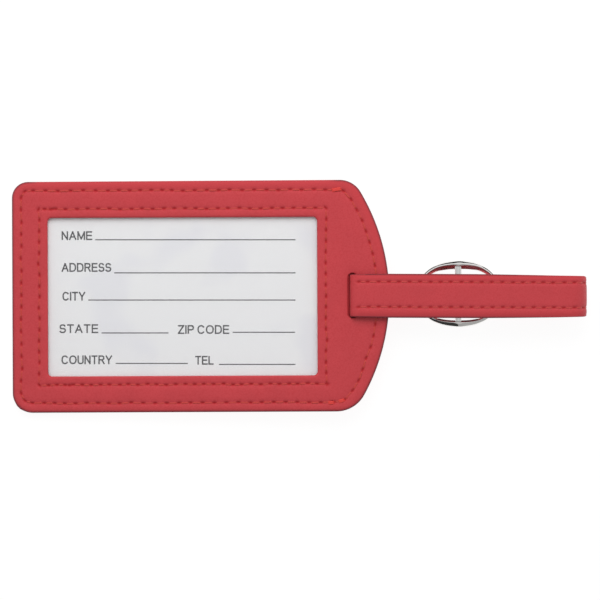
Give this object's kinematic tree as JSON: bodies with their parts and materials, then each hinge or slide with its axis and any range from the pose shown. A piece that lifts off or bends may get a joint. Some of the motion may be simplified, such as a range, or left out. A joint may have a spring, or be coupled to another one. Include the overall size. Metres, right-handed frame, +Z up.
{
  "type": "luggage tag",
  "caption": "Rectangular sewn card pocket with a clear window and a rounded neck, hung from a two-ply strap through a slot, closed by a centre-bar buckle with a prong.",
  "frame": {"origin": "on the surface that the tag lies on, under the middle of its whole length and width", "axes": "+X along the tag from the card end to the strap's far fold, +Y across it, +Z up out of the window side. The tag itself leans 2.32 degrees about Y, its strap end up, because it lies on its left edge and on the prong's tip."},
  "size_m": [0.1744, 0.07, 0.0121],
  "materials": {
    "leatherette": "matte, fine grain",
    "strap_lining": "matte",
    "thread": "twisted polyester thread",
    "greyboard": "uncoated",
    "card": "smooth card",
    "clear_vinyl": "clear, glossy",
    "nickel": "polished plating"
  },
  "bodies": {
    "tag": {"front_panel": "leatherette", "back_panel": "leatherette", "pocket_welt": "leatherette", "neck_facing": "leatherette", "back_board": "greyboard", "window_sheet": "clear_vinyl", "outer_stitching": "thread", "window_stitching": "thread", "slot_outer_ply": "leatherette", "slot_inner_ply": "strap_lining", "strap_bend_top": "leatherette", "strap_bend_bottom": "leatherette"},
    "card": {"id_card": "card"},
    "strap_loop": {"loop_outer_ply": "leatherette", "loop_inner_ply": "strap_lining", "tail_outer_ply": "leatherette", "tail_inner_ply": "strap_lining", "strap_stitching_far": "thread", "strap_stitching_near": "thread"},
    "buckle": {"buckle_frame": "nickel", "buckle_bar": "nickel"},
    "prong": {"buckle_prong": "nickel"}
  },
  "joints": [
    {"name": "card_slide", "type": "slide", "parent": "tag", "child": "card", "axis": [-0.9992, 0, -0.0404], "range_m": [0, 0.075]},
    {"name": "strap_swing", "type": "hinge", "parent": "tag", "child": "strap_loop", "pos_m": [0.02795, 0.0001, 0.00615], "axis": [0, 1, 0], "range_deg": [-75, 75], "deforming": ["strap_bend_top", "strap_bend_bottom"]},
    {"name": "buckle_rock", "type": "hinge", "parent": "strap_loop", "child": "buckle", "pos_m": [0.04806, 0.00075, 0.00637], "axis": [0, 1, 0], "range_deg": [-2.5, 2.5]},
    {"name": "prong_lift", "type": "hinge", "parent": "buckle", "child": "prong", "pos_m": [0.04806, 0.0001, 0.00637], "axis": [0, -1, 0], "range_deg": [0, 35]}
  ]
}
